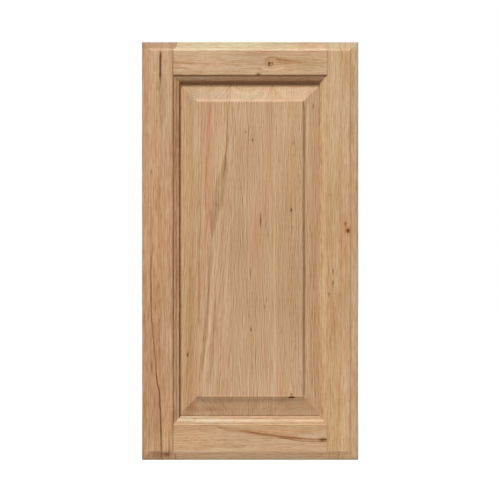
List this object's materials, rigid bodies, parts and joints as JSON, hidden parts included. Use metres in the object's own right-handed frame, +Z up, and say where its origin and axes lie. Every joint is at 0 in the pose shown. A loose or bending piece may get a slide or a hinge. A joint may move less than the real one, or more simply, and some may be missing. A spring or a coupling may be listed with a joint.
{
  "type": "kitchen cabinet door",
  "caption": "Upright raised-panel cabinet door in unfinished knotty wood, with a moulded frame and edges. It closes off a kitchen cabinet and hangs on hinges screwed to its back.",
  "frame": {"origin": "the middle of the door's overall box: half way across its width, up its height and through its thickness", "axes": "+X to the right seen from the front, +Y out of the back of the door, +Z up the door. The moulded front faces -Y."},
  "size_m": [0.327, 0.019, 0.6318],
  "materials": {
    "left_stile_wood": "sanded bare wood, satin, upright grain with a dark vein",
    "right_stile_wood": "sanded bare wood, satin, upright grain with small knots",
    "top_rail_wood": "sanded bare wood, satin, level grain with a knot",
    "bottom_rail_wood": "sanded bare wood, satin, level grain with a brown vein",
    "panel_wood": "sanded bare wood, satin, upright grain with pin knots",
    "spacer_rubber": "matt soft rubber"
  },
  "bodies": {
    "root": {"left_stile": "left_stile_wood", "right_stile": "right_stile_wood", "top_rail": "top_rail_wood", "bottom_rail": "bottom_rail_wood", "panel_board_left": "panel_wood", "panel_board_middle": "panel_wood", "panel_board_right": "panel_wood", "bottom_spacer_left": "spacer_rubber", "bottom_spacer_right": "spacer_rubber", "top_spacer_left": "spacer_rubber", "top_spacer_right": "spacer_rubber"}
  },
  "joints": []
}
